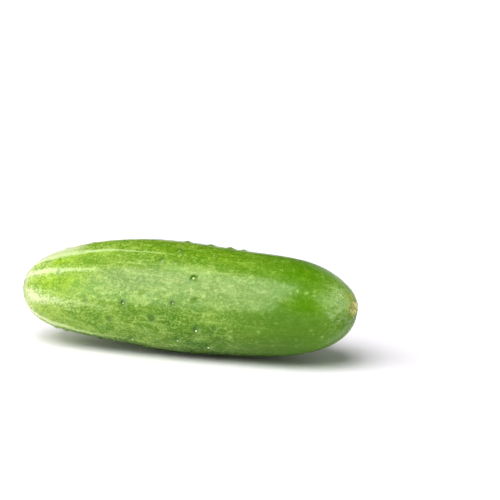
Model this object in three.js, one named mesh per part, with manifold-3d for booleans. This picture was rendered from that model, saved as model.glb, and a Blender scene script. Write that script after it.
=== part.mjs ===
// A cucumber: a short, thick pickling fruit, grown as one piece, lying on its belly.
// Millimetres, +Z up. The fruit lies along X, blossom end at -X and stem end at +X.
// The origin is on the floor, under the middle of the fruit's bounding box.
import * as THREE from "three";
import { NURBSCurve } from "three/addons/curves/NURBSCurve.js";
import { mergeVertices } from "three/addons/utils/BufferGeometryUtils.js";
import Module from "manifold-3d";

// ---- driving dimensions ----
const LENGTH = 140.5; // blossom end to stem end
const HALF_WIDTH = [28.7, 28.5, 29.1, 23.9, 22.4, 22.1, 21.4, 25.6, 27.5, 28.9, 30.0]; // radius, before it closes at the ends
const CENTRE_HEIGHT = [22.9, 22.4, 20.7, 21.3, 22.8, 21.1, 20.4, 21.6, 21.6, 22.3, 24.2]; // centre line above the floor
const SIDE_BEND = [-2.5, -2.46, -2.13, -1.25, -0.37, 0, -0.73, -2.5, -4.27, -4.91, -5]; // centre line's sideways bow
const SIDE_SHIFT = 0.11; // with LENGTH_SHIFT, brings the middle of the bowed fruit's box over the origin
const LENGTH_SHIFT = -0.08;
const LOBE_DEPTH = 0.012; // three soft lobes round the section, one at the top
const RIB_ANGLES = [2, 34, 64, 92, 117, 142, 180, 226, 262, 296, 328]; // degrees round the section
const RIB_HEIGHT = 0.16; // low ribs under the pale stripes
const RIB_HALF_WIDTH = 9; // degrees
const SCAR_AT = [0.968, 158]; // where the stem broke off: place along, degrees round
const SCAR_RADIUS = 3.1;
const SCAR_DEPTH = 0.55;
const SCAR_RIM = 0.25;
const ROWS = 52; // rings along the fruit
const COLUMNS = 48; // points round each ring
const BUMP_SIDES = 8;
const BUMP_ROWS = 4;
const BUMP_SINK = 0.12; // how far a bump's middle sits under the skin

// Bumps (tubercles): place along the fruit (0 blossom end, 1 stem end), degrees round it
// (0 back, 90 top, 180 front, 270 belly), radius, height above the skin.
const BUMPS = [
  [0.415, 178, 1.15, 0.5], [0.509, 172, 1.05, 0.45], [0.382, 198, 1.5, 0.45],
  [0.469, 190, 1.75, 0.5], [0.422, 221, 1.2, 0.45], [0.512, 213, 1.15, 0.5],
  [0.551, 198, 1.35, 0.6], [0.567, 220, 1.3, 0.55], [0.584, 194, 1.3, 0.35],
  [0.541, 144, 1.35, 0.55], [0.545, 165, 1.35, 0.35], [0.499, 112, 1.3, 0.45],
  [0.253, 144, 1.1, 0.35], [0.296, 114, 1.1, 0.35], [0.272, 132, 0.95, 0.25],
  [0.177, 161, 0.9, 0.25], [0.333, 178, 1.2, 0.3], [0.449, 164, 1, 0.25],
  [0.564, 111, 1.1, 0.4], [0.501, 127, 1, 0.3], [0.591, 208, 1.05, 0.35],
  [0.474, 127, 1, 0.25], [0.494, 80, 1.7, 0.5], [0.539, 79, 1.75, 0.5], [0.577, 80, 1.8, 0.55],
  [0.602, 77, 1.6, 0.45], [0.3, 84, 1.5, 0.35], [0.236, 86, 1.4, 0.32],
  [0.437, 243, 1.7, 0.45], [0.2275, 234, 1.6, 0.45], [0.2475, 246, 1.5, 0.45],
  [0.484, 356, 1.08, 0.35], [0.434, 317, 1.26, 0.55], [0.385, 352, 1.3, 0.48],
  [0.481, 304, 1.52, 0.57], [0.447, 54, 1.51, 0.3], [0.37, 293, 0.96, 0.49],
  [0.582, 353, 1.26, 0.46], [0.298, 316, 1.2, 0.58], [0.218, 289, 1.48, 0.46],
  [0.63, 46, 1.41, 0.56], [0.319, 35, 1.35, 0.49], [0.392, 66, 1.2, 0.32],
  [0.511, 36, 1.18, 0.34], [0.244, 29, 1.4, 0.47], [0.352, 318, 1.18, 0.51],
  [0.167, 69, 1.11, 0.46], [0.257, 303, 1.42, 0.42], [0.385, 41, 1.54, 0.58],
  [0.319, 265, 1.13, 0.35], [0.437, 348, 1.3, 0.54], [0.347, 342, 1.21, 0.42],
  [0.192, 22, 1.36, 0.37], [0.415, 28, 1.03, 0.36], [0.444, 68, 1.1, 0.3],
  [0.456, 29, 1.29, 0.59], [0.61, 328, 0.98, 0.4], [0.329, 62, 1.24, 0.46],
  [0.177, 354, 1.4, 0.33], [0.213, 50, 0.99, 0.53], [0.364, 253, 1.15, 0.4],
  [0.318, 10, 1.08, 0.31], [0.657, 20, 1.43, 0.46], [0.481, 332, 1.04, 0.3],
  [0.269, 358, 1.31, 0.32], [0.547, 35, 1.47, 0.47], [0.668, 40, 1, 0.3],
  [0.705, 318, 0.95, 0.28], [0.742, 12, 0.9, 0.25], [0.338, 243, 1.6, 0.42],
  [0.533, 243, 1.7, 0.38], [0.372, 238, 1.2, 0.3],
];

// ---- the body's surface ----
const degree = 3;
const count = HALF_WIDTH.length;
const spans = count - degree;
const knots = [
  ...Array(degree).fill(0),
  ...Array.from({ length: spans + 1 }, (_, i) => i / spans),
  ...Array(degree).fill(1),
];
const spine = new NURBSCurve(
  degree,
  knots,
  HALF_WIDTH.map((r, i) => new THREE.Vector4(r, CENTRE_HEIGHT[i], SIDE_BEND[i], 1)),
);

const smooth = (x) => {
  const s = THREE.MathUtils.clamp(x, 0, 1);
  return s * s * (3 - 2 * s);
};

function ribs(t, deg) {
  let h = 0;
  for (const a of RIB_ANGLES) {
    const d = Math.abs(((deg - a + 540) % 360) - 180) / RIB_HALF_WIDTH;
    if (d < 1) h += Math.cos((d * Math.PI) / 2) ** 2;
  }
  // strongest near the blossom end, gone at both tips and over the stem third
  return RIB_HEIGHT * h * smooth(t / 0.18) * (1 - smooth((t - 0.35) / 0.4));
}

// Point on the plain body: t from 0 at the blossom end to 1 at the stem end.
function bodyPoint(t, deg) {
  const phi = Math.PI * t;
  const c = spine.getPoint(t); // radius, centre height, side bend
  const angle = THREE.MathUtils.degToRad(deg);
  const round = Math.sin(phi);
  const r = c.x * round * (1 + LOBE_DEPTH * Math.cos(3 * (angle - Math.PI / 2))) + ribs(t, deg) * round;
  return new THREE.Vector3(
    LENGTH_SHIFT - (LENGTH / 2) * Math.cos(phi),
    c.z + SIDE_SHIFT + r * Math.cos(angle),
    Math.max(0, c.y + r * Math.sin(angle)), // the belly settles flat on the floor
  );
}

function bodyNormal(t, deg) {
  const dt = 1e-4;
  const along = bodyPoint(t + dt, deg).sub(bodyPoint(t - dt, deg));
  const round = bodyPoint(t, deg + 0.05).sub(bodyPoint(t, deg - 0.05));
  return round.cross(along).normalize();
}

const scarCentre = bodyPoint(...SCAR_AT);

function skinPoint(t, deg) {
  const p = bodyPoint(t, deg);
  const d = p.distanceTo(scarCentre) / SCAR_RADIUS;
  if (d > 1.7 || t < 0.5) return p;
  const hollow = -SCAR_DEPTH * (1 - smooth((d - 0.35) / 0.5));
  const rim = SCAR_RIM * Math.exp(-(((d - 1.05) / 0.28) ** 2));
  const out = t > 0.9995 ? new THREE.Vector3(1, 0, 0) : bodyNormal(t, deg);
  return p.addScaledVector(out, hollow + rim);
}

// Rings are closer together towards both ends, where the fruit closes.
const along = (v) => v - (0.085 * Math.sin(2 * Math.PI * v)) / (2 * Math.PI) * 2.2;

function bodyGeometry() {
  const g = new THREE.SphereGeometry(1, COLUMNS, ROWS);
  const uv = g.getAttribute("uv");
  const pos = g.getAttribute("position");
  for (let i = 0; i < pos.count; i++) {
    const row = Math.round((1 - uv.getY(i)) * ROWS);
    const t = along(row / ROWS);
    // SphereGeometry shifts u by half a column at its poles only, where it makes no difference
    const p = skinPoint(t, row === 0 || row === ROWS ? 0 : 360 - uv.getX(i) * 360);
    pos.setXYZ(i, p.x, p.y, p.z);
  }
  return g;
}

// One bump: a low dome, half sunk in the skin.
function bumpGeometry([t, deg, radius, height]) {
  const n = bodyNormal(t, deg);
  const side = new THREE.Vector3(1, 0, 0).cross(n).normalize();
  const front = side.clone().cross(n);
  const g = new THREE.SphereGeometry(1, BUMP_SIDES, BUMP_ROWS);
  g.rotateX(Math.PI / 2); // its poles along Z
  g.scale(radius, radius, height + BUMP_SINK);
  g.applyMatrix4(new THREE.Matrix4().makeBasis(front, side, n));
  const c = bodyPoint(t, deg).addScaledVector(n, -BUMP_SINK);
  return g.translate(c.x, c.y, c.z);
}

// ---- joining the bumps to the body ----
const wasm = await Module();
wasm.setup();

function solid(geometry) {
  geometry.deleteAttribute("normal");
  geometry.deleteAttribute("uv");
  const merged = mergeVertices(geometry, 1e-4);
  return new wasm.Manifold(
    new wasm.Mesh({
      numProp: 3,
      vertProperties: new Float32Array(merged.getAttribute("position").array),
      triVerts: new Uint32Array(merged.index.array),
    }),
  );
}

let fruit = solid(bodyGeometry());
for (const bump of BUMPS) fruit = fruit.add(solid(bumpGeometry(bump)));

const mesh = fruit.getMesh();
const geometry = new THREE.BufferGeometry();
geometry.setAttribute("position", new THREE.BufferAttribute(new Float32Array(mesh.vertProperties), 3));
geometry.setIndex(new THREE.BufferAttribute(new Uint32Array(mesh.triVerts), 1));
geometry.computeVertexNormals();

const skin = new THREE.MeshStandardMaterial({ color: 0x6f9c2b, roughness: 0.38, metalness: 0 });
const cucumber = new THREE.Mesh(geometry, skin);
cucumber.name = "cucumber";

const part = new THREE.Group();
part.name = "cucumber_fruit";
part.add(cucumber);

export default part;
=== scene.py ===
# A short, thick pickling cucumber lying on its belly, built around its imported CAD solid.
# Metres, +Z up, blossom end at -X, stem end at +X. Lengths in the tables below are in millimetres.
import math

import bpy
import numpy as np
from mathutils import Matrix, Vector


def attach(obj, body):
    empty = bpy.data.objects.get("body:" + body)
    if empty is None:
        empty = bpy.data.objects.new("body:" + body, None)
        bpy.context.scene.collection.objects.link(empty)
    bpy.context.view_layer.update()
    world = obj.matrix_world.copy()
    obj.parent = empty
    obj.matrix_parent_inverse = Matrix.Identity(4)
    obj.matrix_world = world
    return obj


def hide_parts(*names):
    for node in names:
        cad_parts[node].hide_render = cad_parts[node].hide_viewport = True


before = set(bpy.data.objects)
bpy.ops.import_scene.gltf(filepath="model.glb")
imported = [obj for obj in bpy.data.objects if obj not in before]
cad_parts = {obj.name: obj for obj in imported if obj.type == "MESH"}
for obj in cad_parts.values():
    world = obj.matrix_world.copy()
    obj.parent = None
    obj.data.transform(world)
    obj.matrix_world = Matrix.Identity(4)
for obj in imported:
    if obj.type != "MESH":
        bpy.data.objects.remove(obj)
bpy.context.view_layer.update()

MM = 0.001

# ---------------------------------------------------------------- body shape
LENGTH = 140.5
HALF_WIDTH = [28.7, 28.5, 29.1, 23.9, 22.4, 22.1, 21.4, 25.6, 27.5, 28.9, 30.0]
CENTRE_HEIGHT = [22.9, 22.4, 20.7, 21.3, 22.8, 21.1, 20.4, 21.6, 21.6, 22.3, 24.2]
SIDE_BEND = [-2.5, -2.46, -2.13, -1.25, -0.37, 0.0, -0.73, -2.5, -4.27, -4.91, -5.0]
SIDE_SHIFT = 0.11
LENGTH_SHIFT = -0.08
LOBE_DEPTH = 0.012
RIB_ANGLES = [2, 34, 64, 92, 117, 142, 180, 226, 262, 296, 328]
SCAR_AT = (0.968, 158.0)
SCAR_RADIUS = 3.1

# bumps: place along (0 blossom end, 1 stem end), degrees round (0 back, 90 top, 180 front), radius, height
BUMPS = np.array([
    (0.415, 178, 1.15, 0.5), (0.509, 172, 1.05, 0.45), (0.382, 198, 1.5, 0.45),
    (0.469, 190, 1.75, 0.5), (0.422, 221, 1.2, 0.45), (0.512, 213, 1.15, 0.5),
    (0.551, 198, 1.35, 0.6), (0.567, 220, 1.3, 0.55), (0.584, 194, 1.3, 0.35),
    (0.541, 144, 1.35, 0.55), (0.545, 165, 1.35, 0.35), (0.499, 112, 1.3, 0.45),
    (0.253, 144, 1.1, 0.35), (0.296, 114, 1.1, 0.35), (0.272, 132, 0.95, 0.25),
    (0.177, 161, 0.9, 0.25), (0.333, 178, 1.2, 0.3), (0.449, 164, 1, 0.25), (0.564, 111, 1.1, 0.4),
    (0.501, 127, 1, 0.3), (0.591, 208, 1.05, 0.35), (0.474, 127, 1, 0.25), (0.494, 80, 1.7, 0.5),
    (0.539, 79, 1.75, 0.5), (0.577, 80, 1.8, 0.55), (0.602, 77, 1.6, 0.45), (0.3, 84, 1.5, 0.35),
    (0.236, 86, 1.4, 0.32), (0.437, 243, 1.7, 0.45), (0.2275, 234, 1.6, 0.45),
    (0.2475, 246, 1.5, 0.45), (0.484, 356, 1.08, 0.35), (0.434, 317, 1.26, 0.55),
    (0.385, 352, 1.3, 0.48), (0.481, 304, 1.52, 0.57), (0.447, 54, 1.51, 0.3),
    (0.37, 293, 0.96, 0.49), (0.582, 353, 1.26, 0.46), (0.298, 316, 1.2, 0.58),
    (0.218, 289, 1.48, 0.46), (0.63, 46, 1.41, 0.56), (0.319, 35, 1.35, 0.49),
    (0.392, 66, 1.2, 0.32), (0.511, 36, 1.18, 0.34), (0.244, 29, 1.4, 0.47),
    (0.352, 318, 1.18, 0.51), (0.167, 69, 1.11, 0.46), (0.257, 303, 1.42, 0.42),
    (0.385, 41, 1.54, 0.58), (0.319, 265, 1.13, 0.35), (0.437, 348, 1.3, 0.54),
    (0.347, 342, 1.21, 0.42), (0.192, 22, 1.36, 0.37), (0.415, 28, 1.03, 0.36),
    (0.444, 68, 1.1, 0.3), (0.456, 29, 1.29, 0.59), (0.61, 328, 0.98, 0.4),
    (0.329, 62, 1.24, 0.46), (0.177, 354, 1.4, 0.33), (0.213, 50, 0.99, 0.53),
    (0.364, 253, 1.15, 0.4), (0.318, 10, 1.08, 0.31), (0.657, 20, 1.43, 0.46),
    (0.481, 332, 1.04, 0.3), (0.269, 358, 1.31, 0.32), (0.547, 35, 1.47, 0.47),
    (0.668, 40, 1, 0.3), (0.705, 318, 0.95, 0.28), (0.742, 12, 0.9, 0.25), (0.338, 243, 1.6, 0.42),
    (0.533, 243, 1.7, 0.38), (0.372, 238, 1.2, 0.3),
])


def smooth(x):
    s = np.clip(x, 0, 1)
    return s * s * (3 - 2 * s)


def spline(control, t):
    """Clamped uniform cubic B-spline on 0..1."""
    c = np.asarray(control, float)
    n, k = len(c), 3
    kn = np.r_[[0.0] * k, np.linspace(0, 1, n - k + 1), [1.0] * k]
    t = np.clip(np.asarray(t, float), 0, 1 - 1e-12)
    basis = [((t >= kn[i]) & (t < kn[i + 1])).astype(float) for i in range(len(kn) - 1)]
    for d in range(1, k + 1):
        nxt = []
        for i in range(len(kn) - 1 - d):
            a = kn[i + d] - kn[i]
            b = kn[i + d + 1] - kn[i + 1]
            v = 0
            if a > 0:
                v = v + (t - kn[i]) / a * basis[i]
            if b > 0:
                v = v + (kn[i + d + 1] - t) / b * basis[i + 1]
            nxt.append(v)
        basis = nxt
    return sum(ci * bi for ci, bi in zip(c, basis))


def turn(deg, centre):
    """Signed angle from centre, in degrees."""
    return (deg - centre + 540) % 360 - 180


def body_point(t, deg):
    """Points on the plain body, in mm: t 0..1 along, deg round."""
    t, deg = np.broadcast_arrays(np.asarray(t, float), np.asarray(deg, float))
    phi = np.pi * t
    a = np.radians(deg)
    rnd = np.sin(phi)
    lobes = 1 + LOBE_DEPTH * np.cos(3 * (a - np.pi / 2))
    # the underside turns away along a soft edge on the blossom half
    edge = 0.45 * np.exp(-(turn(deg, 225) / 13) ** 2) - 0.35 * np.exp(-(turn(deg, 250) / 14) ** 2)
    edge = edge * smooth((t - 0.1) / 0.12) * (1 - smooth((t - 0.34) / 0.16))
    r = (spline(HALF_WIDTH, t) * lobes + edge) * rnd
    x = LENGTH_SHIFT - LENGTH / 2 * np.cos(phi)
    y = spline(SIDE_BEND, t) + SIDE_SHIFT + r * np.cos(a)
    z = spline(CENTRE_HEIGHT, t) + r * np.sin(a)
    return np.stack([x, y, np.maximum(z, 0)], -1)


def body_normal(t, deg):
    e = 1e-4
    tt = np.clip(t, 2 * e, 1 - 2 * e)
    u = body_point(tt + e, deg) - body_point(tt - e, deg)
    v = body_point(tt, deg + 0.05) - body_point(tt, deg - 0.05)
    n = np.cross(v, u)
    return n / (np.linalg.norm(n, axis=-1, keepdims=True) + 1e-15)


class Waves:
    """Smooth seeded noise: a sum of plane waves, about -1..1, with the given size of blob in mm."""

    def __init__(self, seed, size, count=48, stretch=(1, 1, 1)):
        g = np.random.default_rng(seed)
        self.k = g.normal(size=(count, 3)) * (2 * np.pi / size / 1.9) / np.asarray(stretch, float)
        self.p = g.uniform(0, 2 * np.pi, count)

    def __call__(self, pts):
        out = np.zeros(pts.shape[:-1])
        for k, p in zip(self.k, self.p):
            out += np.cos(pts @ k + p)
        return out * math.sqrt(2 / len(self.p)) * 0.7


# ---------------------------------------------------------------- the grid of the skin
ROWS, COLS, FINE = 330, 208, 3


def row_places():
    """Rings along the fruit: even in length, closer over the bumpy half and at both tips."""
    s = np.linspace(0, 1, 4001)
    x = -np.cos(np.pi * s)
    r = np.sin(np.pi * s)
    arc = np.r_[0, np.cumsum(np.hypot(np.diff(x), 0.42 * np.diff(r)))]
    mid = (s[1:] + s[:-1]) / 2
    weight = 1 + 0.25 * smooth((mid - 0.12) / 0.08) * (1 - smooth((mid - 0.62) / 0.1)) + 0.9 * smooth((mid - 0.92) / 0.03) + 0.9 * (1 - smooth((mid - 0.03) / 0.03))
    total = np.r_[0, np.cumsum(np.diff(arc) * weight)]
    return np.interp(np.linspace(0, total[-1], ROWS * FINE + 1), total, s)


T_FINE = row_places()
DEG_FINE = np.arange(COLS * FINE) * 360.0 / (COLS * FINE)

bump_pos = body_point(BUMPS[:, 0], BUMPS[:, 1])
scar_pos = body_point(*SCAR_AT)
scar_axis = body_normal(*SCAR_AT)
blossom_pos = body_point(0.006, 200.0)

# coarse quads that need three times the detail
ci, cj = np.meshgrid(np.arange(ROWS), np.arange(COLS), indexing="ij")
mid_t = (T_FINE[ci * FINE] + T_FINE[(ci + 1) * FINE]) / 2
mid_deg = DEG_FINE[cj * FINE] + 180.0 / COLS
mid_pos = body_point(mid_t, mid_deg)
flag = np.zeros((ROWS, COLS), bool)
for p, (bt, bd, br, bh) in zip(bump_pos, BUMPS):
    flag |= np.linalg.norm(mid_pos - p, axis=-1) < br * 1.15 + 0.25
near_scar = np.linalg.norm(mid_pos - scar_pos, axis=-1)
flag[:1] = False
flag[-1:] = False

ids = {}
keys = []


def vid(i, j):
    j %= COLS * FINE
    if i == 0 or i == ROWS * FINE:
        j = 0
    k = (i, j)
    if k not in ids:
        ids[k] = len(keys)
        keys.append(k)
    return ids[k]


faces = []
face_uv = []
for i in range(ROWS):
    for j in range(COLS):
        a, b, c, d = i * FINE, (i + 1) * FINE, j * FINE, (j + 1) * FINE
        if flag[i, j]:
            for p in range(a, b):
                for q in range(c, d):
                    faces.append([vid(p, q), vid(p, q + 1), vid(p + 1, q + 1), vid(p + 1, q)])
                    face_uv.append([(p, q), (p, q + 1), (p + 1, q + 1), (p + 1, q)])
            continue
        ring = [(a, c)]
        if i and flag[i - 1, j]:
            ring += [(a, c + s) for s in range(1, FINE)]
        ring.append((a, d))
        if flag[i, (j + 1) % COLS]:
            ring += [(a + s, d) for s in range(1, FINE)]
        ring.append((b, d))
        if i + 1 < ROWS and flag[i + 1, j]:
            ring += [(b, d - s) for s in range(1, FINE)]
        ring.append((b, c))
        if flag[i, j - 1]:
            ring += [(b - s, c) for s in range(1, FINE)]
        if i == 0:
            ring = [r for r in ring if r != (a, d)]
        if i == ROWS - 1:
            ring = [r for r in ring if r != (b, d)]
        faces.append([vid(*r) for r in ring])
        face_uv.append(ring)

key = np.array(keys)
T = T_FINE[key[:, 0]]
DEG = DEG_FINE[key[:, 1]]
P0 = body_point(T, DEG)
N0 = body_normal(T, DEG)
N0[key[:, 0] == 0] = (-1, 0, 0)
N0[key[:, 0] == ROWS * FINE] = (1, 0, 0)

# ---------------------------------------------------------------- relief, in mm along the normal
ends = smooth(T / 0.12) * smooth((1 - T) / 0.1)
blossom_half = 1 - smooth((T - 0.3) / 0.4)


def rib_field(width):
    f = np.zeros(len(T))
    for a in RIB_ANGLES:
        d = np.abs(turn(DEG, a)) / width
        f = np.maximum(f, np.where(d < 1, np.cos(np.minimum(d, 1) * np.pi / 2) ** 2, 0))
    return f


relief = 0.16 * rib_field(9.0) * smooth(T / 0.18) * (1 - smooth((T - 0.35) / 0.4))
relief += 0.10 * Waves(11, 16.0, stretch=(1.6, 1, 1))(P0) * ends
relief += 0.035 * Waves(12, 5.0, stretch=(1.5, 1, 1))(P0) * ends * (0.35 + 0.65 * blossom_half)

bump_mask = np.zeros(len(T))
ring_mask = np.zeros(len(T))
tip_mask = np.zeros(len(T))
halo_mask = np.zeros(len(T))
painted_light_mask = np.zeros(len(T))
bump_nor = body_normal(BUMPS[:, 0], BUMPS[:, 1])
# the pale point on each bump, partly the dry white point that a spine leaves and partly a painted highlight: how much
# of it is left on each bump
g = np.random.default_rng(3)
POINT = g.choice([0.15, 0.3, 0.5, 0.9], len(BUMPS))
RING = g.uniform(0.25, 0.75, len(BUMPS))
LEAN = g.uniform(-0.9, 0.9, len(BUMPS))
for n, v in {0: 0.62, 1: 0.60, 2: 0.15, 3: 0.2, 4: 0.9, 5: 0.9, 6: 1.0, 7: 1.2, 8: 0.1, 9: 1.0, 10: 0.0, 11: 0.5, 12: 0.0, 13: 0.1, 14: 0.0, 15: 0.0, 16: 0.0, 17: 0.0, 18: 0.5, 19: 0.0, 20: 0.25, 21: 0.0}.items():
    POINT[n] = v
for n, v in {0: 1.25, 1: 1.25, 2: 0.6, 3: 0.8, 4: 0.8, 5: 0.9, 6: 1.2, 7: 1.1, 8: 0.7, 9: 0.8, 10: 0.5, 11: 0.35, 12: 0.4, 13: 0.25, 14: 0.2, 15: 0.3, 16: 0.45, 17: 0.15, 18: 0.2, 19: 0.2, 20: 0.4, 21: 0.6}.items():
    RING[n] = v
LEAN[:22] = 0.9
BLUNT = (2, 3, 8, 10, 12, 14, 15, 19)  # bumps whose point has gone: one dark spot
RING[22:31] = 0.15
RING[69:] = 0.1
POINT[22:31] = 0.1
POINT[69:] = 0.0
for n, (p, (bt, bd, br, bh)) in enumerate(zip(bump_pos, BUMPS)):
    d = np.linalg.norm(P0 - p, axis=-1)
    m = d < br * 3.6
    q = d[m] / br
    mound = np.exp(-((q / 0.78) ** 2))
    moat = np.exp(-(((q - 1.45) / 0.35) ** 2))
    tip = 1 - smooth((d[m] - 0.16) / (0.28 + 0.20 * POINT[n]))
    relief[m] += bh * 0.92 * mound - 0.06 * moat + (0.04 + 0.16 * min(POINT[n], 1)) * tip
    bump_mask[m] = np.maximum(bump_mask[m], np.exp(-(q / 0.9) ** 4))
    ring_at, ring_wide = (0.62, 0.42) if n in BLUNT else (0.84, 0.52)
    # the ring is deepest on its upper, blossom side and pale below: painted shade above, painted light below
    off = P0[m] - p
    nb = bump_nor[n]
    upn = np.array([0, 0, 1.0]) - nb * nb[2]
    upn /= np.linalg.norm(upn) + 1e-9
    acn = np.cross(nb, upn)
    phase = 0.5 + 0.5 * np.cos(np.arctan2(off @ acn, off @ upn) - LEAN[n])
    ring_mask[m] = np.maximum(ring_mask[m], RING[n] * np.exp(-(((q - ring_at) / ring_wide) ** 2)) * (0.55 + 0.45 * phase))
    painted_light_mask[m] = np.maximum(painted_light_mask[m], RING[n] * np.exp(-(((q - 0.95) / 0.38) ** 2)) * (1 - phase))
    halo_mask[m] = np.maximum(halo_mask[m], RING[n] * np.exp(-((q / (1.2 if n in BLUNT else 1.7)) ** 2)))
    tip_mask[m] = np.maximum(tip_mask[m], POINT[n] * tip)

# stem scar: a shallow crater with a corky, puckered rim
sd = P0 - scar_pos
side = np.cross(scar_axis, (0, 0, 1)); side /= np.linalg.norm(side)
upw = np.cross(side, scar_axis)
sa = np.arctan2(sd @ upw, sd @ side)
sr = np.linalg.norm(sd, axis=-1)
g = np.random.default_rng(5)
wob = sum(a * np.cos(k * sa + f) for k, a, f in zip((2, 3, 5, 8), (0.09, 0.06, 0.05, 0.03), g.uniform(0, 6.28, 4)))
sq = sr / SCAR_RADIUS * (1 + wob)
stem_side = T > 0.5
sq = np.where(stem_side, sq, 99.0)
scar_in = 1 - smooth((sq - 0.62) / 0.3)
scar_rim = np.exp(-(((sq - 1.02) / 0.2) ** 2))
relief += -0.5 * scar_in + 0.28 * scar_rim * (1 + 0.5 * np.cos(11 * sa + 1.3 * np.sin(3 * sa)))
relief += 0.12 * np.exp(-((sq / 0.28) ** 2)) + 0.07 * Waves(21, 0.9)(P0) * (1 - smooth((sq - 0.9) / 0.25))
# fine pleats that run into the scar
pleat_phase = 40 * sa + 1.6 * np.sin(5 * sa + 1) + 1.2 * np.sin(9 * sa) + 0.5 * np.sin(1.7 * sr)
pleats = np.cos(pleat_phase) * smooth((sq - 1.05) / 0.4) * (1 - smooth((sq - 2.6) / 3.2))
relief += 0.05 * pleats

# blossom scar: a small dimple with a dry dot
bd_ = np.where(T < 0.5, np.linalg.norm(P0 - blossom_pos, axis=-1), 99.0)
relief += -0.45 * np.exp(-((bd_ / 2.6) ** 2)) + 0.3 * np.exp(-((bd_ / 0.8) ** 2))
ba = np.arctan2(P0[:, 2] - blossom_pos[2], P0[:, 1] - blossom_pos[1])
relief += 0.05 * np.cos(12 * ba + 0.8 * np.sin(4 * ba)) * smooth((bd_ - 1) / 1.5) * (1 - smooth((bd_ - 4) / 5))

# the belly stays flat where it rests
flat = P0[:, 2] < 0.35
relief = np.where(flat, relief * smooth(P0[:, 2] / 0.35), relief)
P = P0 + N0 * relief[:, None]
P[:, 2] = np.maximum(P[:, 2], 0)

# ---------------------------------------------------------------- masks the material reads
fuzz = Waves(31, 5.0, stretch=(3, 1, 1))(P0)
fuzz2 = Waves(32, 1.6, stretch=(1.6, 1, 1))(P0)


def stripe(centre, start, stop, width, strength, fade=0.08, wander=1.5):
    """A pale line that runs along the fruit: centre in degrees, start and stop along it."""
    c = np.interp(T, *zip(*centre)) if isinstance(centre, list) else centre
    w = np.interp(T, *zip(*width)) if isinstance(width, list) else width
    s = np.interp(T, *zip(*strength)) if isinstance(strength, list) else strength
    d = np.abs(turn(DEG, c) + wander * fuzz) / w
    along = smooth((T - start) / 0.05) * (1 - smooth((T - stop + fade) / fade))
    return s * np.exp(-(d ** 1.7)) * along


stripes = np.zeros(len(T))
for args in [
    ([(0.1, 107), (0.2, 111.5), (0.3, 115), (0.4, 116.8), (0.5, 118)], 0.02, 0.62, [(0.1, 10), (0.2, 8.5), (0.27, 6.4), (0.33, 3.4), (0.40, 1.9), (0.6, 1.5)], [(0.1, 1.0), (0.3, 1.1), (0.38, 0.78), (0.46, 0.55), (0.55, 0.28), (0.62, 0.1)], 0.1, 0.45),
    ([(0.1, 134), (0.16, 138), (0.25, 141), (0.4, 143)], 0.02, 0.46, [(0.1, 10), (0.2, 7.5), (0.3, 5.0), (0.4, 4.0)], [(0.06, 0.4), (0.1, 0.75), (0.2, 0.92), (0.3, 0.72), (0.36, 0.42), (0.46, 0.1)], 0.12, 1.6),
    ([(0.1, 175), (0.2, 179), (0.4, 184)], 0.02, 0.50, [(0.1, 10), (0.2, 8.5), (0.3, 9.0), (0.45, 10.0)], [(0.06, 0.3), (0.1, 0.5), (0.15, 0.72), (0.2, 0.78), (0.3, 0.62), (0.36, 0.42), (0.44, 0.2), (0.5, 0.05)], 0.12, 3.0),
    ([(0.1, 212), (0.19, 216.5), (0.24, 221.5), (0.5, 225)], 0.02, 0.60, [(0.1, 9), (0.2, 6.5), (0.3, 4.4), (0.5, 3.2)], [(0.1, 0.8), (0.25, 0.95), (0.33, 0.62), (0.42, 0.36), (0.5, 0.18), (0.58, 0.05)], 0.1, 2.0),
    (92.0, 0.02, 0.4, [(0.1, 9), (0.3, 5)], [(0.1, 0.8), (0.3, 0.5), (0.4, 0.1)], 0.1, 1.8),
    (64.0, 0.02, 0.58, [(0.1, 8), (0.2, 5.5), (0.35, 2.6)], [(0.1, 0.9), (0.3, 0.8), (0.45, 0.45), (0.56, 0.1)], 0.1, 1.4),
    (34.0, 0.02, 0.5, [(0.1, 8), (0.2, 5.5), (0.35, 3.4)], [(0.1, 0.9), (0.3, 0.7), (0.45, 0.25)], 0.1, 1.6),
    (2.0, 0.02, 0.6, [(0.1, 8), (0.2, 5.5), (0.35, 2.6)], [(0.1, 0.9), (0.3, 0.8), (0.45, 0.5), (0.58, 0.1)], 0.1, 1.2),
    (328.0, 0.02, 0.48, [(0.1, 8), (0.2, 6), (0.35, 4.4)], [(0.1, 0.9), (0.3, 0.6), (0.45, 0.2)], 0.1, 1.8),
    (296.0, 0.02, 0.55, [(0.1, 8), (0.2, 5.5), (0.35, 3.2)], [(0.1, 0.9), (0.3, 0.75), (0.5, 0.25)], 0.1, 1.5),
    (262.0, 0.02, 0.5, [(0.1, 8), (0.2, 5.5), (0.35, 3.6)], [(0.1, 0.9), (0.3, 0.7), (0.45, 0.25)], 0.1, 1.5),
]:
    stripes = np.maximum(stripes, stripe(*args[:5], fade=args[5], wander=args[6]))

pale = 1 - smooth((T - 0.055 + 0.02 * fuzz) / 0.13)
# the patch high on the blossom end at 100 degrees is partly paler skin, partly a painted sheen
pale = np.maximum(pale, 0.85 * np.exp(-((turn(DEG, 100) / 15) ** 2)) * np.exp(-(((T - 0.235) / 0.07) ** 2)))
pale = np.maximum(pale, 0.28 * np.exp(-((turn(DEG, 108) / 11) ** 2)) * np.exp(-(((T - 0.31) / 0.06) ** 2)))
pale = np.maximum(pale, 0.36 * np.exp(-((turn(DEG, 126) / 26) ** 2)) * np.exp(-(((T - 0.17) / 0.09) ** 2)))
pale = np.maximum(pale, 0.75 * np.exp(-((turn(DEG, 237) / 13) ** 2)) * np.exp(-(((T - 0.17) / 0.06) ** 2)))

# painted highlight: the paler shoulder on the upper front of the stem end, where the right soft box reflects
stem_end_highlight = np.exp(-((turn(DEG, 132) / 34) ** 2)) * np.exp(-(((T - 0.875) / 0.055) ** 2))

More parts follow.
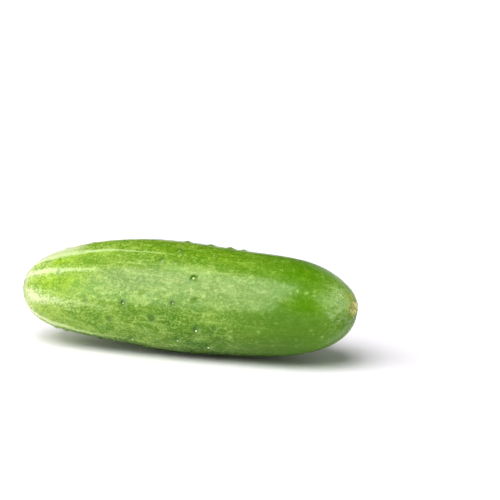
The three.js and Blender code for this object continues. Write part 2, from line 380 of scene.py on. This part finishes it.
# how strong the mottling is: the stem third is smooth, smoothest low on its sides
lower = smooth((DEG - 170) / 18) * smooth((330 - DEG) / 25)
mottling = (1 - lower) * np.interp(T, [0, 0.5, 0.58, 0.66, 0.72, 0.79, 0.84, 0.88, 0.93, 0.97, 1], [1, 1.0, 0.95, 0.6, 0.42, 0.26, 0.35, 0.8, 0.7, 0.4, 0.2])
mottling += lower * np.interp(T, [0, 0.3, 0.4, 0.5, 0.6, 0.66, 0.72, 0.8, 0.84, 0.88, 0.93, 0.97, 1], [1, 1.05, 1.3, 1.4, 1.1, 0.45, 0.20, 0.20, 0.30, 0.75, 0.85, 0.4, 0.2])

# painted shade: darker green low on the front, towards the belly
belly_shade = np.maximum.reduce([
    0.56 * np.exp(-((turn(DEG, 222) / 27) ** 2)) * np.exp(-(((T - 0.63) / 0.17) ** 2)),
    0.60 * np.exp(-((turn(DEG, 242) / 14) ** 2)) * np.exp(-(((T - 0.46) / 0.22) ** 2)),
    0.30 * np.exp(-((turn(DEG, 182) / 18) ** 2)) * np.exp(-(((T - 0.70) / 0.13) ** 2)),
])

# darker and lighter clouds in the mottling: along, degrees, radius in mm, how much
g = np.random.default_rng(404)
CLOUDS = [
    (0.43, 186, 4.5, -0.5), (0.485, 193, 5.0, -0.7), (0.53, 210, 6.0, -0.8), (0.585, 205, 5.0, -0.6), (0.56, 224, 5.0, -0.7), (0.34, 203, 5.0, -0.5),
    (0.30, 190, 3.5, -0.4), (0.40, 213, 4.0, -0.4), (0.50, 177, 3.0, -0.5), (0.545, 178, 3.5, -0.5), (0.41, 163, 5.0, -0.5), (0.45, 152, 4.0, -0.3), (0.385, 158, 4.5, -0.45), (0.47, 166, 3.5, -0.4),
    (0.445, 205, 3.5, 0.5), (0.365, 188, 3.0, 0.4), (0.47, 218, 3.5, 0.5), (0.60, 188, 3.0, 0.4), (0.39, 178, 3.0, 0.3), (0.62, 212, 3.0, 0.35), (0.515, 198, 2.5, 0.4),
]
CLOUDS += [(g.uniform(0.22, 0.66), g.uniform(255, 445) % 360, g.uniform(3, 6), g.choice([-0.7, -0.5, -0.4, 0.4, 0.5])) for _ in range(34)]
clouds = np.zeros(len(T))
for (ct, cd, cr, ca), c in zip(CLOUDS, body_point(np.array([c[0] for c in CLOUDS]), np.array([c[1] for c in CLOUDS]))):
    d = (P0 - c) * (0.75, 1, 1)
    clouds += ca * np.exp(-(np.linalg.norm(d, axis=-1) / cr) ** 2)

# painted contact shadow: dark just above the resting line
contact_shadow = 0.85 * np.exp(-((turn(DEG, 244) / 14) ** 2)) * smooth((T - 0.14) / 0.12) * (1 - smooth((T - 0.55) / 0.2))

# fresher, more saturated green between the mottled and the hazy places
vivid = np.maximum.reduce([
    a * np.exp(-((turn(DEG, c) / w) ** 2)) * np.exp(-(((T - at) / l) ** 2))
    for at, c, l, w, a in [
        (0.26, 158, 0.07, 11, 0.75), (0.24, 127, 0.06, 7, 0.7), (0.77, 114, 0.065, 22, 0.9), (0.785, 165, 0.045, 14, 1.0), (0.55, 106, 0.13, 15, 0.8),
        (0.30, 100, 0.08, 9, 0.5), (0.32, 40, 0.10, 22, 0.8), (0.62, 20, 0.14, 25, 0.8), (0.78, 60, 0.06, 25, 0.9), (0.30, 340, 0.09, 14, 0.7), (0.78, 330, 0.06, 28, 0.9),
    ]
])
# painted sheen: less yellow on the upper front, where the front-left soft box reflects
painted_sheen = np.exp(-((turn(DEG, 151) / 15) ** 2)) * smooth((T - 0.30) / 0.10) * (1 - smooth((T - 0.66) / 0.12))
# painted reflection: a pale bluish rim low along the front edge of the stem end
painted_rim_reflection = np.exp(-((turn(DEG, np.interp(T, [0.8, 0.9, 0.95], [234, 227, 214])) / 9) ** 2)) * smooth((T - 0.80) / 0.08) * (1 - smooth((T - 0.955) / 0.02))

# pale flecks: sparse breathing spots, thicker towards the middle
g = np.random.default_rng(77)
flecks = np.zeros(len(T))
FLECKS = [(0.753, 144.5, 0.42, 0.8), (0.777, 145, 0.46, 0.9), (0.795, 141.5, 0.34, 0.6), (0.797, 147, 0.38, 0.75), (0.854, 177.5, 0.5, 0.6), (0.823, 211.5, 0.5, 0.7), (0.671, 196, 0.5, 0.7)]
for _ in range(230):
    ft = g.uniform(0.42, 0.93)
    FLECKS.append((ft, g.uniform(0, 360), g.uniform(0.22, 0.5), g.uniform(0.2, 0.6)))
fleck_pos = body_point(np.array([f[0] for f in FLECKS]), np.array([f[1] for f in FLECKS]))
order = np.argsort(P0[:, 0])
xs = P0[order, 0]
for p, f in zip(fleck_pos, FLECKS):
    lo, hi = np.searchsorted(xs, (p[0] - 1.5, p[0] + 1.5))
    idx = order[lo:hi]
    d = np.linalg.norm(P0[idx] - p, axis=-1)
    flecks[idx] = np.maximum(flecks[idx], f[3] * np.exp(-((d / f[2]) ** 2)))

dashes = smooth(0.42 + 0.8 * Waves(33, 2.2, stretch=(1.8, 1, 1))(P0)) * smooth(0.55 + 0.9 * Waves(34, 9.0)(P0))
streaks = np.clip(0.5 + 0.5 * np.cos(pleat_phase * 1.5 + 0.8 * fuzz2), 0, 1) ** 2 * dashes * smooth((sq - 1.2) / 0.5) * (1 - smooth((sq - 2.9) / 3.4)) * (0.75 + 0.55 * np.exp(-((turn(DEG, 196) / 30) ** 2)))

# ---------------------------------------------------------------- the mesh
me = bpy.data.meshes.new("cucumber_skin")
me.from_pydata((P * MM).tolist(), [], faces)
me.update()
me.shade_smooth()
uv = me.uv_layers.new(name="OFBake")
flat_uv = []
u_of = np.cumsum(np.r_[0, np.linalg.norm(np.diff(np.stack([-np.cos(np.pi * T_FINE) * LENGTH / 2, np.sin(np.pi * T_FINE) * 22], -1), axis=0), axis=1)])
u_of = 0.004 + 0.992 * u_of / u_of[-1]
for poly, ring in zip(me.polygons, face_uv):
    for i, j in ring:
        flat_uv += [u_of[i], 0.004 + 0.992 * j / (COLS * FINE)]
    if len(ring) == 3:
        pass
uv.data.foreach_set("uv", flat_uv)


def attribute(name, values):
    a = me.attributes.new(name, "FLOAT", "POINT")
    a.data.foreach_set("value", np.asarray(values, np.float32))


for name, values in [
    ("along", T), ("stripe", stripes), ("pale", pale), ("bump", bump_mask), ("ring", ring_mask), ("tip", tip_mask), ("halo", halo_mask), ("painted_light", painted_light_mask),
    ("scar", 1 - smooth((sq - 0.72) / 0.36)), ("collar", np.exp(-(((sq / (1 + 0.55 * np.clip(np.sin(sa), 0, 1)) - 0.98) / 0.32) ** 2)) * (0.6 + 0.4 * np.sin(sa))), ("core", np.exp(-((sq / 0.34) ** 2))),
    ("stem_end_highlight", stem_end_highlight), ("belly_shade", belly_shade), ("contact_shadow", contact_shadow), ("dark_cloud", np.clip(-clouds, 0, 1)), ("light_cloud", np.clip(clouds, 0, 1)), ("vivid", vivid), ("painted_sheen", painted_sheen), ("painted_rim_reflection", painted_rim_reflection), ("mottling", mottling), ("fleck", flecks), ("streak", streaks), ("dry", np.exp(-((bd_ / 1.1) ** 2))),
]:
    attribute(name, values)

fruit = bpy.data.objects.new("cucumber_fruit", me)
bpy.context.scene.collection.objects.link(fruit)

# ---------------------------------------------------------------- skin material
mat = bpy.data.materials.new("cucumber_skin")
mat.use_nodes = True
nt = mat.node_tree
nt.nodes.clear()
N, Lk = nt.nodes, nt.links


def node(kind, **props):
    n = N.new(kind)
    for k, v in props.items():
        setattr(n, k, v)
    return n


def put(socket, value):
    if isinstance(value, bpy.types.NodeSocket):
        Lk.new(value, socket)
    elif value is not None:
        socket.default_value = value


def attr(name):
    n = node("ShaderNodeAttribute", attribute_name=name)
    return n.outputs["Fac"]


def math_(op, a, b=None, c=None, clamp=False):
    n = node("ShaderNodeMath", operation=op, use_clamp=clamp)
    for s, v in zip(n.inputs, (a, b, c)):
        put(s, v)
    return n.outputs[0]


def ramp(fac, stops, interpolation="LINEAR"):
    n = node("ShaderNodeValToRGB")
    n.color_ramp.interpolation = interpolation
    e = n.color_ramp.elements
    while len(e) > 1:
        e.remove(e[0])
    e[0].position, e[0].color = stops[0][0], (*stops[0][1], 1) if len(stops[0][1]) == 3 else stops[0][1]
    for p, c in stops[1:]:
        x = e.new(p)
        x.color = (*c, 1)
    put(n.inputs[0], fac)
    return n.outputs[0]


def span(fac, a, b, lo=0.0, hi=1.0):
    n = node("ShaderNodeMapRange", interpolation_type="SMOOTHSTEP")
    put(n.inputs["Value"], fac)
    n.inputs["From Min"].default_value = a
    n.inputs["From Max"].default_value = b
    n.inputs["To Min"].default_value = lo
    n.inputs["To Max"].default_value = hi
    return n.outputs[0]


def mix(fac, a, b, blend="MIX"):
    n = node("ShaderNodeMix", data_type="RGBA", blend_type=blend, clamp_factor=True)
    put(n.inputs[0], fac)
    for s, v in ((n.inputs[6], a), (n.inputs[7], b)):
        put(s, (*v, 1) if isinstance(v, tuple) and len(v) == 3 else v)
    return n.outputs[2]


coords = node("ShaderNodeTexCoord").outputs["Object"]


def mapped(scale):
    n = node("ShaderNodeMapping")
    put(n.inputs["Vector"], coords)
    n.inputs["Scale"].default_value = scale
    return n.outputs[0]


def noise(scale, detail=2.0, rough=0.5, distortion=0.0, stretch=(1, 1, 1)):
    n = node("ShaderNodeTexNoise")
    put(n.inputs["Vector"], mapped(tuple(scale * s for s in stretch)))
    n.inputs["Scale"].default_value = 1.0
    n.inputs["Detail"].default_value = detail
    n.inputs["Roughness"].default_value = rough
    n.inputs["Distortion"].default_value = distortion
    return n.outputs["Fac"]


def cells(scale, stretch=(1, 1, 1), feature="F1"):
    n = node("ShaderNodeTexVoronoi", feature=feature)
    put(n.inputs["Vector"], mapped(tuple(scale * s for s in stretch)))
    n.inputs["Scale"].default_value = 1.0
    return n


along = attr("along")
grain = noise(1500, 3.0, 0.62, stretch=(0.7, 1, 1))      # under a millimetre
blotch = noise(420, 3.0, 0.6, 0.2, stretch=(0.55, 1, 1))  # 2 to 3 mm
cloud = noise(95, 3.0, 0.55, 0.3, stretch=(0.6, 1, 1))    # 10 mm

# ground colour along the fruit, a little shifted by slow noise
shifted = math_("ADD", along, math_("MULTIPLY", math_("SUBTRACT", cloud, 0.5), 0.10))
ground = ramp(shifted, [
    (0.00, (0.62, 0.66, 0.32)),
    (0.10, (0.50, 0.62, 0.17)),
    (0.20, (0.345, 0.50, 0.070)),
    (0.33, (0.250, 0.400, 0.040)),
    (0.48, (0.168, 0.306, 0.016)),
    (0.62, (0.133, 0.276, 0.005)),
    (0.74, (0.104, 0.250, 0.0015)),
    (0.80, (0.114, 0.268, 0.002)),
    (0.86, (0.130, 0.288, 0.005)),
    (0.93, (0.118, 0.262, 0.006)),
    (1.00, (0.17, 0.28, 0.03)),
])
# close mottling: light and dark, strong on the bumpy blossom half, faint on the smooth stem third
bumpy = span(along, 0.74, 0.50)
amount = attr("mottling")
fine = noise(1900, 2.0, 0.55, stretch=(0.85, 1, 1))
patch = noise(230, 3.0, 0.55, 0.2, stretch=(0.65, 1, 1))    # 4 to 5 mm
both = math_("ADD", math_("MULTIPLY", grain, 0.55), math_("MULTIPLY", fine, 0.25))
both = math_("ADD", both, math_("MULTIPLY", blotch, 0.20))
light = span(both, 0.475, 0.60)
dark = span(both, 0.51, 0.39)
mottle = mix(math_("MULTIPLY", span(patch, 0.46, 0.62), math_("MULTIPLY", amount, 0.50)), ground, (0.115, 0.285, 0.010))
mottle = mix(math_("MULTIPLY", span(patch, 0.50, 0.34), math_("MULTIPLY", amount, 0.36)), mottle, (0.40, 0.58, 0.13))
speckled = mix(math_("MULTIPLY", dark, math_("MULTIPLY", amount, 0.52)), mottle, (0.085, 0.225, 0.006))
speckled = mix(math_("MULTIPLY", light, math_("MULTIPLY", amount, 0.30)), speckled, (0.50, 0.65, 0.21))
flake = span(noise(700, 4.0, 0.62, 0.0, stretch=(0.75, 1, 1)), 0.52, 0.68)
speckled = mix(math_("MULTIPLY", flake, math_("MULTIPLY", amount, 0.48)), speckled, (0.50, 0.66, 0.19))

speckled = mix(math_("MULTIPLY", attr("dark_cloud"), span(both, 0.58, 0.42, 0.35, 1.0)), speckled, (0.58, 0.72, 0.50), "MULTIPLY")
speckled = mix(math_("MULTIPLY", attr("light_cloud"), span(both, 0.42, 0.58, 0.2, 0.8)), speckled, (0.42, 0.57, 0.16))
# painted shade low on the front and along the belly
speckled = mix(attr("belly_shade"), speckled, (0.46, 0.54, 0.46), "MULTIPLY")
speckled = mix(attr("vivid"), speckled, (0.95, 1.02, 0.25), "MULTIPLY")
# painted sheen: less yellow where the front-left soft box reflects
speckled = mix(attr("painted_sheen"), speckled, (0.93, 0.87, 1.0), "MULTIPLY")

# fine lines along the fruit
lines = noise(430, 3.0, 0.6, 0.3, stretch=(0.09, 1, 1))
speckled = mix(math_("MULTIPLY", span(lines, 0.55, 0.68), math_("MULTIPLY", amount, 0.40)), speckled, (0.10, 0.26, 0.008))
speckled = mix(math_("MULTIPLY", span(lines, 0.44, 0.33), math_("MULTIPLY", amount, 0.26)), speckled, (0.46, 0.64, 0.17))
# painted highlight: pale mottled patch on the upper front of the stem end
speckled = mix(math_("MULTIPLY", math_("MULTIPLY", attr("stem_end_highlight"), span(both, 0.40, 0.58)), 0.66), speckled, (0.42, 0.58, 0.20))

# painted reflection: pale bluish rim low on the stem end
speckled = mix(math_("MULTIPLY", attr("painted_rim_reflection"), 0.38), speckled, (0.30, 0.44, 0.24))

# pale blossom end and pale stripes, their edges broken up by the grain
broken = math_("MULTIPLY_ADD", math_("SUBTRACT", grain, 0.5), 0.9, math_("MULTIPLY", math_("SUBTRACT", blotch, 0.5), 0.5))
pale_f = span(math_("ADD", attr("pale"), broken), 0.15, 0.92)
stripe_f = span(math_("ADD", attr("stripe"), math_("MULTIPLY", broken, span(along, 0.26, 0.38, 1.25, 0.6))), 0.20, 0.90)
cream = mix(span(noise(300, 2.0), 0.4, 0.7), (0.66, 0.73, 0.42), (0.74, 0.72, 0.54))
cream = mix(span(along, 0.135, 0.065), cream, (0.31, 0.37, 0.150))
col = mix(pale_f, speckled, cream)
col = mix(math_("MULTIPLY", stripe_f, 0.86), col, mix(span(along, 0.1, 0.32), (0.77, 0.76, 0.53), (0.60, 0.75, 0.34)))

col = mix(span(along, 0.155, 0.065), col, (0.70, 0.77, 0.54), "MULTIPLY")

# painted contact shadow just above the resting line
col = mix(attr("contact_shadow"), col, (0.38, 0.44, 0.30), "MULTIPLY")
col = mix(1.0, col, (0.972, 0.968, 0.97), "MULTIPLY")

# flecks, streaks at the stem end
col = mix(attr("fleck"), col, (0.46, 0.66, 0.16))
col = mix(math_("MULTIPLY", attr("streak"), 0.8), col, (0.42, 0.58, 0.28))

# bumps: darker halo; dark ring, partly darker skin and partly painted shade; painted light below the ring; pale tip,
# partly the dry point of a spine and partly a painted highlight
col = mix(math_("MULTIPLY", attr("halo"), 0.62), col, (0.100, 0.250, 0.008))
col = mix(math_("MULTIPLY", attr("ring"), 0.95), col, (0.040, 0.110, 0.004))
col = mix(math_("MULTIPLY", attr("painted_light"), 0.55), col, (0.42, 0.60, 0.17))
col = mix(span(attr("tip"), 0.20, 0.75), col, (0.80, 0.86, 0.52))

# stem scar and its yellowed collar
cork = mix(span(noise(950, 3.0, 0.6), 0.42, 0.56), (0.70, 0.70, 0.31), (0.33, 0.40, 0.08))
cork = mix(math_("MULTIPLY", span(noise(760, 2.0, 0.6), 0.54, 0.62), 0.7), cork, (0.40, 0.31, 0.10))
col = mix(math_("MULTIPLY", attr("collar"), span(noise(800, 2.0, 0.5), 0.35, 0.65, 0.3, 0.85)), col, (0.40, 0.47, 0.09))
col = mix(span(math_("ADD", attr("scar"), math_("MULTIPLY", broken, 0.6)), 0.3, 0.7), col, cork)
col = mix(math_("MULTIPLY", attr("core"), 0.35), col, (0.40, 0.29, 0.12))
col = mix(attr("dry"), col, (0.36, 0.24, 0.11))

# roughness: waxy, drier on pale and corky places
rough = math_("MULTIPLY_ADD", cloud, 0.09, 0.12)
rough = math_("MULTIPLY_ADD", bumpy, 0.05, rough)
rough = math_("MULTIPLY_ADD", grain, 0.10, rough)
rough = math_("MULTIPLY_ADD", pale_f, 0.10, rough)
rough = math_("MULTIPLY_ADD", stripe_f, 0.05, rough)
rough = math_("MULTIPLY_ADD", attr("scar"), 0.42, rough, clamp=True)

# relief finer than the mesh
height = math_("MULTIPLY_ADD", noise(2300, 2.0, 0.6), 0.35, math_("MULTIPLY", grain, 0.6))
height = math_("MULTIPLY", height, math_("MULTIPLY_ADD", bumpy, 0.75, 0.25))
height = math_("MULTIPLY_ADD", blotch, 0.5, height)
height = math_("MULTIPLY_ADD", math_("MULTIPLY", noise(3200, 3.0, 0.7), attr("scar")), 1.6, height)
bump = node("ShaderNodeBump")
bump.inputs["Strength"].default_value = 0.55
bump.inputs["Distance"].default_value = 0.00008
put(bump.inputs["Height"], height)

bsdf = node("ShaderNodeBsdfPrincipled")
put(bsdf.inputs["Base Color"], col)
put(bsdf.inputs["Roughness"], rough)
put(bsdf.inputs["Normal"], bump.outputs[0])
bsdf.inputs["IOR"].default_value = 1.45
bsdf.inputs["Specular IOR Level"].default_value = 0.36
out = node("ShaderNodeOutputMaterial")
put(out.inputs["Surface"], bsdf.outputs[0])
me.materials.append(mat)

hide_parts("cucumber")
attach(fruit, "root")

# ---------------------------------------------------------------- floor, light, camera
fm = bpy.data.meshes.new("floor")
S = 6.0
fm.from_pydata([(-S, -S, 0), (S, -S, 0), (S, S, 0), (-S, S, 0)], [], [(0, 1, 2, 3)])
floor = bpy.data.objects.new("floor", fm)
floor.location.z = -0.00002
bpy.context.scene.collection.objects.link(floor)
fmat = bpy.data.materials.new("floor")
fmat.use_nodes = True
fb = fmat.node_tree.nodes["Principled BSDF"]
fb.inputs["Base Color"].default_value = (0.91, 0.885, 0.925, 1)
fb.inputs["Roughness"].default_value = 0.8
fb.inputs["Specular IOR Level"].default_value = 0.2
fm.materials.append(fmat)

world = bpy.data.worlds.new("studio")
world.use_nodes = True
wt = world.node_tree
wt.nodes.clear()
wo = wt.nodes.new("ShaderNodeOutputWorld")
bg = wt.nodes.new("ShaderNodeBackground")
tc = wt.nodes.new("ShaderNodeTexCoord")
# a white room near the horizon, dimmer overhead, with a lit side behind to the right
sep = wt.nodes.new("ShaderNodeSeparateXYZ")
wt.links.new(tc.outputs["Generated"], sep.inputs[0])


def world_range(value, a, b, lo, hi):
    n = wt.nodes.new("ShaderNodeMapRange")
    n.interpolation_type = "SMOOTHSTEP"
    for k, v in (("From Min", a), ("From Max", b), ("To Min", lo), ("To Max", hi)):
        n.inputs[k].default_value = v
    wt.links.new(value, n.inputs["Value"])
    return n.outputs[0]


def world_math(op, a, b):
    n = wt.nodes.new("ShaderNodeMath")
    n.operation = op
    for s_, v in zip(n.inputs, (a, b)):
        if isinstance(v, float):
            s_.default_value = v
        else:
            wt.links.new(v, s_)
    return n.outputs[0]


def towards(azimuth, elevation):
    a, e = math.radians(azimuth), math.radians(elevation)
    return Vector((math.sin(a) * math.cos(e), -math.cos(a) * math.cos(e), math.sin(e)))


dot = wt.nodes.new("ShaderNodeVectorMath")
dot.operation = "DOT_PRODUCT"
dot.inputs[1].default_value = towards(165, 22)
wt.links.new(tc.outputs["Generated"], dot.inputs[0])
horizon = world_range(sep.outputs[2], 0.13, 0.25, 0.966, 0.0)
lit = world_range(dot.outputs["Value"], math.cos(math.radians(27)), math.cos(math.radians(10)), 0.0, 0.87)
# the room is darker to the right, past the stem end
side = wt.nodes.new("ShaderNodeVectorMath")
side.operation = "DOT_PRODUCT"
side.inputs[1].default_value = towards(122, 0)
wt.links.new(tc.outputs["Generated"], side.inputs[0])
dimmed = world_range(side.outputs["Value"], math.cos(math.radians(38)), math.cos(math.radians(12)), 1.0, 0.35)
total = world_math("ADD", world_math("MAXIMUM", world_math("MULTIPLY", horizon, dimmed), lit), 0.035)
wt.links.new(total, bg.inputs["Strength"])
bg.inputs["Color"].default_value = (1, 1, 1, 1)
wt.links.new(bg.outputs[0], wo.inputs["Surface"])
bpy.context.scene.world = world


def panel(name, azimuth, elevation, distance, width, height, radiance, aim=(0, 0, 0.02)):
    """A soft box whose reflection shows on the waxy skin: azimuth from -Y towards +X."""
    light = bpy.data.lights.new(name, "AREA")
    light.shape = "RECTANGLE"
    light.size, light.size_y = width, height
    light.energy = radiance * math.pi * width * height
    o = bpy.data.objects.new(name, light)
    d = towards(azimuth, elevation)
    o.location = Vector(aim) + d * distance
    o.rotation_euler = d.to_track_quat("Z", "Y").to_euler()
    o.visible_diffuse = False
    bpy.context.scene.collection.objects.link(o)
    return o


def wash(name, azimuth, elevation, angle, strength):
    """Even, soft light from far away, for the shading and the shadow."""
    light = bpy.data.lights.new(name, "SUN")
    light.angle = math.radians(angle)
    light.energy = strength
    o = bpy.data.objects.new(name, light)
    o.rotation_euler = towards(azimuth, elevation).to_track_quat("Z", "Y").to_euler()
    o.visible_glossy = False
    bpy.context.scene.collection.objects.link(o)
    return o


panel("front_left", -26, 36, 1.6, 1.0, 2.1, 6.4)
panel("right", 74, 33, 1.6, 2.2, 1.35, 3.4)
wash("key", -12, 62, 50, 2.72)
wash("left", -66, 25, 56, 1.60)
wash("dome", 10, 84, 150, 0.6)

cam = bpy.data.cameras.new("camera")
cam.sensor_width = 36.0
cam.lens = 100.0
cam.clip_start = 0.01
camera = bpy.data.objects.new("camera", cam)
AZ, EL = math.radians(18), math.radians(11.5)
back = Vector((math.sin(AZ) * math.cos(EL), -math.cos(AZ) * math.cos(EL), math.sin(EL)))
right = Vector((math.cos(AZ), math.sin(AZ), 0))
up = back.cross(right)
camera.matrix_world = Matrix.Translation(Vector((0.19030, -0.50600, 0.15078))) @ Matrix((right, up, back)).transposed().to_4x4()
bpy.context.scene.collection.objects.link(camera)
bpy.context.scene.camera = camera
bpy.context.scene.view_settings.view_transform = "Standard"
bpy.context.scene.view_settings.gamma = 0.85
